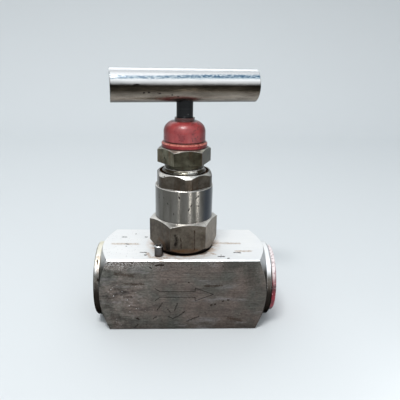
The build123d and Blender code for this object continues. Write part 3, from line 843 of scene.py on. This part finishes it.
# painted highlight: the ridge outside that line is painted bright
painted_ridge_highlight = times(spread(away, junction_radius - 0.05 * mm, junction_radius + 0.1 * mm),
              times(on_flange, spread(seat[2], flange_top - 0.75 * mm, flange_top - 0.55 * mm),
                    spread(fine, 0.40, 0.58, 0.25, 1.0)))
greased = times(marks(place, grease, 1.9 * mm, 1.0), spread(fine, 0.44, 0.60))
print("cap masks", len(tree.nodes), "nodes")

# %% [markdown]
# Its layers are cloudy red, rubbed streaks, specks, painted shade on the shoulders, the dark line and the
# painted ridge highlight, then grease, painted shade in corners, wear, and the dark lip and painted hem
# shade.

# %% Dust cap red
grease_tone = (0.045, 0.012, 0.011)
tone = tint(spread(patch, 0.32, 0.70), (0.185, 0.018, 0.022), (0.36, 0.048, 0.047))
tone = tint(times(spread(rubs_and_reflection, 0.55, 0.85), 0.5), tone, (0.42, 0.12, 0.115))
tone = tint(times(grease_and_shade, 0.80), tone, (0.045, 0.014, 0.013))
tone = tint(painted_side_shade, tone, (0.085, 0.012, 0.012))
tone = tint(times(junction_line, 0.92), tone, (0.030, 0.010, 0.007))
tone = tint(painted_ridge_highlight, tone, (0.54, 0.195, 0.150))
tone = tint(times(greased, 0.85), tone, grease_tone)
# painted shade: corners and creases are darkened to the grease tone
tone = tint(times(corner_shade, 0.60), tone, grease_tone)
tone = tint(times(worn, 0.5), tone, (0.62, 0.20, 0.15))
# the lip is dark with grease, and the hem is painted dark as shade
tone = tint(times(calc("MAXIMUM", lip, hem_shade), 0.9), tone, (0.045, 0.018, 0.015))
feed(shader, Base_Color=tone, Roughness=spread(patch, 0.3, 0.7, 0.25, 0.34),
     Specular_IOR_Level=spread(calc("MAXIMUM", on_flange, painted_side_shade), 0.0, 0.9, 0.50, 0.12))
relief(shader, plus(times(patch, 2.0), fine), 0.035 * mm, 0.3 * mm)
wear(["dust_cap"], cap_red)

# %% [markdown]
# ## Plug
#
# The plug is glossy deep red plastic, clouded and specked like any moulding that has lain in a box. Only the
# upper part of its rim, which faces the window, is painted pale, a painted highlight.

# %% Plug red
rim_from, rim_full = 12.8 * mm, 13.4 * mm

plug_red, tree, shader, place = new_finish("plug_red", IOR=1.5)
patch = noise(place, 200.0)
crumbs = noise(place, 1100.0, 3.0, 0.7)
specks = use_group(spots, place, per_metre=1100.0, size=0.30, share=0.30)
up = spread(directions(tree)[2], 0.20, 0.70, smooth=True)
tone = tint(spread(patch, 0.35, 0.65), (0.050, 0.001, 0.004), (0.22, 0.005, 0.018))
tone = tint(times(specks, 0.7), tone, (0.58, 0.26, 0.28))
from_axis = off_axis(vector("SUBTRACT", place, (0.0, 0.0, port_axis_z)), (0.0, 1.0, 1.0))
# painted highlight: the upper part of the rim is painted pale
pale = times(up, spread(crumbs, 0.36, 0.50, 0.25, 1.0), spread(from_axis, rim_from, rim_full))
tone = tint(pale, tone, (0.84, 0.76, 0.76))
feed(shader, Base_Color=tone, Roughness=spread(patch, 0.3, 0.7, 0.22, 0.4))
relief(shader, plus(patch, times(crumbs, 0.4)), 0.06 * mm)
wear(["outlet_plug"], plug_red)

# %% [markdown]
# ## Handle plate
#
# The bar is plated and polished, so it mirrors the room: bright above and dark below. Its lower half is
# painted dark brown, a painted reflection, with a paler painted reflection along the bottom. A blue streak,
# a painted reflection of open sky, runs along its front and fades to the left. `turn` lays the bar's own
# length along x, because the bar stands at an angle to the body. Its flat ends are left without the painted
# dark.

# %% Handle masks
handle_yaw = radians(11.16)
dark_reflection_full, dark_reflection_start, dark_reflection_sway = 0.04, 0.36, 0.12
bar_dents = [
    ((-18.6, -9.6, 94.6), (-18.3, -9.5, 94.5)), ((-18.6, -10.0, 98.6), (-16.8, -9.6, 98.6)),
    ((-15.0, -9.0, 95.8), (-14.8, -8.9, 95.8)), ((-13.4, -8.7, 96.0), (-13.0, -8.6, 96.0)),
    ((-10.0, -7.8, 95.8), (-9.2, -7.6, 95.7)),
]

handle_plate, tree, shader, place = new_finish("handle_plate", Metallic=1.0)
turn = put(tree, "ShaderNodeMapping", {"Vector": place, "Rotation": (0.0, 0.0, -handle_yaw)}).outputs[0]
aim = directions(tree)
lines = use_group(streaks, turn, stretch=(45.0, 1500.0, 1500.0))
patch = noise(turn, 1.0, 5.0, 0.6, (90.0, 350.0, 350.0))
grit = noise(turn, 1.0, 3.0, 0.6, (500.0, 1500.0, 1500.0))
blotches = noise(turn, 1.0, 3.0, 0.65, (700.0, 1700.0, 1700.0))
pits = use_group(spots, place, per_metre=430.0, size=0.14, share=0.10)
worn = use_group(edge_wear, place, width=0.25 * mm, breakup=0.4)
endward = plus(times(aim[0], cos(handle_yaw)), times(aim[1], sin(handle_yaw)))
# painted reflection: the lower half is painted dark brown
painted_dark_reflection = spread(plus(aim[2], times(minus(patch, 0.5), dark_reflection_sway)), dark_reflection_start, dark_reflection_full)
painted_dark_reflection = times(painted_dark_reflection, spread(calc("ABSOLUTE", endward), 0.90, 0.70))
# painted reflection: a paler band along the bottom of the bar
rubs_and_reflection = times(spread(aim[2], -0.25, -0.62), spread(aim[2], -0.93, -0.84))
right_half = spread(parts(turn)[0], -12.0 * mm, 6.0 * mm)
# painted reflection: a blue streak of open sky along the front
line = minus(aim[2], times(right_half, 0.09))
painted_sky_streak = times(spread(line, 0.37, 0.44), spread(line, 0.62, 0.53))
painted_sky_streak = times(painted_sky_streak, calc("LESS_THAN", aim[1], 0.0), spread(blotches, 0.40, 0.56))
below = spread(aim[2], 0.1, -0.1)
print("handle masks", len(tree.nodes), "nodes")

# %% [markdown]
# Its layers are fine bright lines, the painted dark lower half and its paler band, the painted blue streak,
# then pits, dents and worn edges.

# %% Handle plate
tone = tint(lines, (0.84, 0.86, 0.87), (0.93, 0.94, 0.94))
dark_reflection_tone = tint(spread(patch, 0.38, 0.62), (0.022, 0.018, 0.013), (0.050, 0.040, 0.029))
pale_reflection_tone = tint(spread(patch, 0.38, 0.62), (0.170, 0.144, 0.120), (0.330, 0.290, 0.245))
tone = tint(painted_dark_reflection, tone, tint(rubs_and_reflection, dark_reflection_tone, pale_reflection_tone))
tone = tint(times(painted_sky_streak, spread(right_half, 0.0, 1.0, 0.62, 1.0)), tone, (0.10, 0.22, 0.34))
tone = tint(times(pits, spread(below, 0.0, 1.0, 0.2, 1.0)), tone, (0.02, 0.016, 0.014))
tone = tint(marks(place, bar_dents, 0.8 * mm, 0.5), tone, (0.015, 0.012, 0.010))
tone = tint(worn, tone, (0.70, 0.70, 0.70))
feed(shader, Base_Color=tone, Roughness=plus(spread(lines, 0.0, 1.0, 0.12, 0.20), times(painted_dark_reflection, 0.10)))
relief(shader, minus(plus(lines, times(grit, 7.0)), times(pits, 3.0)), 0.007 * mm)
wear(["handle_bar"], handle_plate)

# %% [markdown]
# ## The gland nut's shoulder
#
# Under its hexagon the nut has a turned neck, which flares to the thread that screws into the bonnet. The
# start of that thread is a cone just above the bonnet's mouth, with painted highlights across its front. Its
# outline is spun round the stem axis, and it rides with the nut. It stays 1.6 mm above the mouth's floor, so
# the nut can be tightened.

# %% Gland shoulder
neck_radius, shoulder_radius = 7.95 * mm, 8.85 * mm
shoulder_bottom, shoulder_edge, flare_start = 64.5 * mm, 65.05 * mm, 66.7 * mm
flare_steps = 6
# painted highlights on the front of the shoulder
painted_shoulder_sheen = [((-3.2, -8.2, 65.3), (2.4, -8.4, 65.3))]
painted_shoulder_shine = [((2.6, -8.2, 65.5), (4.3, -7.6, 65.5))]
outline = [(neck_radius - 0.05 * mm, shoulder_bottom), (shoulder_radius, shoulder_bottom)]
for step in range(flare_steps + 1):
    angle = pi / 2 * step / flare_steps
    outline.append((neck_radius + (shoulder_radius - neck_radius) * (1 - sin(angle)),
                    flare_start - (flare_start - shoulder_edge) * cos(angle)))
shape = bmesh.new()
corners = [shape.verts.new((radius, 0.0, height)) for radius, height in outline]
edges = [shape.edges.new(pair) for pair in zip(corners, corners[1:] + corners[:1])]
bmesh.ops.spin(shape, geom=corners + edges, cent=(0.0, 0.0, 0.0), axis=(0.0, 0.0, 1.0), angle=2 * pi,
               steps=96, use_merge=True)
bmesh.ops.remove_doubles(shape, verts=shape.verts, dist=0.001 * mm)
gland_shoulder = add_shape("gland_shoulder", shape)
for face in gland_shoulder.data.polygons:
    face.use_smooth = 0.05 < face.normal.z
shoulder_highlights = [(painted_shoulder_sheen, 2.8 * mm, 0.8, (0.46, 0.43, 0.35)),
                   (painted_shoulder_shine, 3.2 * mm, 0.6, (0.90, 0.87, 0.80))]
gland_shoulder.data.materials.append(
    turned_steel("shoulder_steel", (0.026, 0.019, 0.011), (0.080, 0.065, 0.042), 0.22, 0.34,
                 (0.070, 0.055, 0.036), corner_shade_amount=0.3, smears=shoulder_highlights))
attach(gland_shoulder, "gland")
print("gland_shoulder faces", len(gland_shoulder.data.polygons))

# %% [markdown]
# ## Port threads
#
# The model bores each port at its thread's outer diameter. The real port has a thread cut in it, so each
# port gets a liner: one tooth of the thread, swept along a helix with the spin operator, which also moves
# along the axis while it turns. The teeth stand 1.16 mm proud of the wall, at 14 turns to the inch. Their
# roots are just inside the wall, and both ends of the helix are closed.

# %% Threads
thread_pitch = 25.4 / 14 * mm
thread_outer, thread_inner = 10.4775 * mm, 9.316 * mm
thread_start, thread_end = 18.2 * mm, 31.2 * mm
steps_per_turn = 48


def thread_liner(name, side):
    """A helical thread inside the port on that side, -1 for the inlet and 1 for the outlet."""
    shape = bmesh.new()
    tooth = [(-0.48, thread_outer + 0.02 * mm), (-0.09, thread_inner), (0.09, thread_inner),
             (0.48, thread_outer + 0.02 * mm)]
    corners = [shape.verts.new((side * (thread_start + along * thread_pitch), 0.0, port_axis_z + away))
               for along, away in tooth]
    edges = [shape.edges.new(pair) for pair in zip(corners, corners[1:] + corners[:1])]
    steps = round(((thread_end - thread_start) / thread_pitch - 0.5) * steps_per_turn)
    bmesh.ops.spin(shape, geom=corners + edges, cent=(0.0, 0.0, port_axis_z), axis=(1.0, 0.0, 0.0),
                   dvec=(side * thread_pitch / steps_per_turn, 0.0, 0.0),
                   angle=2 * pi * steps / steps_per_turn, steps=steps, use_merge=False)
    bmesh.ops.holes_fill(shape, edges=[edge for edge in shape.edges if len(edge.link_faces) == 1], sides=4)
    liner = add_shape(name, shape)
    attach(liner, "valve")
    liner.data.materials.append(body_steel)
    print(name, "faces", len(liner.data.polygons))


thread_liner("inlet_port_thread", -1)
thread_liner("outlet_port_thread", 1)

# %% [markdown]
# ## Floor and backdrop
#
# A pale grey sheet runs under the valve and curves up behind it, so there is no line where floor meets
# wall. It is drawn as one line from front to back and pulled out sideways.

# %% Sweep
sweep_half_width, sweep_front, sweep_back, sweep_height, bend = 1.6, -1.4, 0.62, 1.3, 0.22
sheet = bmesh.new()
arc = [(sweep_back - bend + bend * sin(radians(a)), bend - bend * cos(radians(a)))
       for a in range(0, 91, 6)]
line = [(sweep_front, 0.0)] + arc + [(sweep_back, sweep_height)]
left = [sheet.verts.new((-sweep_half_width, y, z)) for y, z in line]
rails = [sheet.edges.new(pair) for pair in zip(left, left[1:])]
drawn = bmesh.ops.extrude_edge_only(sheet, edges=rails)["geom"]
far_edge = [item for item in drawn if isinstance(item, bmesh.types.BMVert)]
bmesh.ops.translate(sheet, verts=far_edge, vec=(2 * sweep_half_width, 0.0, 0.0))
for face in sheet.faces:
    face.smooth = True
sweep = add_shape("sweep", sheet)

paper = new_finish("backdrop_paper", Base_Color=(0.69, 0.715, 0.725), Roughness=0.9,
                   Specular_IOR_Level=0.1)[0]
sweep.data.materials.append(paper)
print("sweep faces", len(sweep.data.polygons))

# %% [markdown]
# ## Lamps
#
# A large lamp behind and above makes the tops bright and leaves the front in shade, as a window does. A
# small skylight high above the front puts a soft highlight on rounded tops. Three faint strips stand low
# round the front, where upright round pieces mirror them as thin lines.


# %% Lamps
def panel(name, place, aim, width, height, power):
    """A white area lamp at a place, aimed at a point, which the camera doesn't see."""
    data = bpy.data.lights.new(name, "AREA")
    data.shape = "RECTANGLE"
    data.size, data.size_y = width, height
    data.energy = power
    lamp = add_object(name, data)
    place, aim = Vector(place), Vector(aim)
    facing = (place - aim).to_track_quat("Z", "Y").to_matrix().to_4x4()
    lamp.matrix_world = Matrix.Translation(place) @ facing
    lamp.visible_camera = False
    print(name, "power", power)


strips = (("right_strip", 293.0, 0.012), ("side_strip", 323.0, 0.013), ("left_strip", 251.0, 0.004))
target = (0.0, 0.0, 0.05)
panel("window", (-0.10, 0.58, 0.50), target, 1.2, 0.7, 2.3)
panel("skylight", (-0.07, -0.22, 0.52), target, 0.15, 0.045, 1.5)
strip_height, strip_width, strip_away = 36.0 * mm, 3.5 * mm, 135.0 * mm
for name, bearing, power in strips:
    stand = (strip_away * cos(radians(bearing)), strip_away * sin(radians(bearing)), strip_height / 2)
    panel(name, stand, (0.0, 0.0, strip_height / 2), strip_width, strip_height, power)

# %% [markdown]
# ## Room
#
# Polished metal looks like what stands round it. To the front the room is dark below the horizon and bright
# above it, with a band of blue sky high up, whose edges waver. Behind it is evenly light, and the sides are
# duller. The camera itself sees plain pale grey beyond the sheet.

# %% Room
world = bpy.data.worlds.new("room")
scene.world = world
world.use_nodes = True
tree = world.node_tree
tree.nodes.clear()
outward = put(tree, "ShaderNodeTexCoord").outputs["Generated"]
way = parts(outward)
mist = times(minus(noise(outward, 9.0, 5.0, 0.6), 0.5), 0.16)
high = plus(way[2], mist)
front_tone = tint(spread(way[2], 0.03, 0.15), (0.04, 0.036, 0.032), (1.20, 1.22, 1.24))
front_tone = tint(spread(high, 0.68, 0.74), front_tone, (0.50, 0.64, 0.74))
front_tone = tint(spread(high, 0.90, 0.95), front_tone, (1.22, 1.24, 1.27))
room_tone = tint(spread(way[1], -0.2, 0.2), front_tone, (0.80, 0.83, 0.86))
sides = times(spread(calc("ABSOLUTE", way[0]), 0.55, 0.85, smooth=True), 0.65)
room_tone = tint(sides, room_tone, (0.20, 0.21, 0.22))
camera_ray = put(tree, "ShaderNodeLightPath").outputs["Is Camera Ray"]
room_tone = tint(camera_ray, room_tone, (0.76, 0.80, 0.83))
sky = put(tree, "ShaderNodeBackground", {"Color": room_tone, "Strength": 0.87})
put(tree, "ShaderNodeOutputWorld", [sky.outputs[0]])
print("room", len(tree.nodes), "nodes")
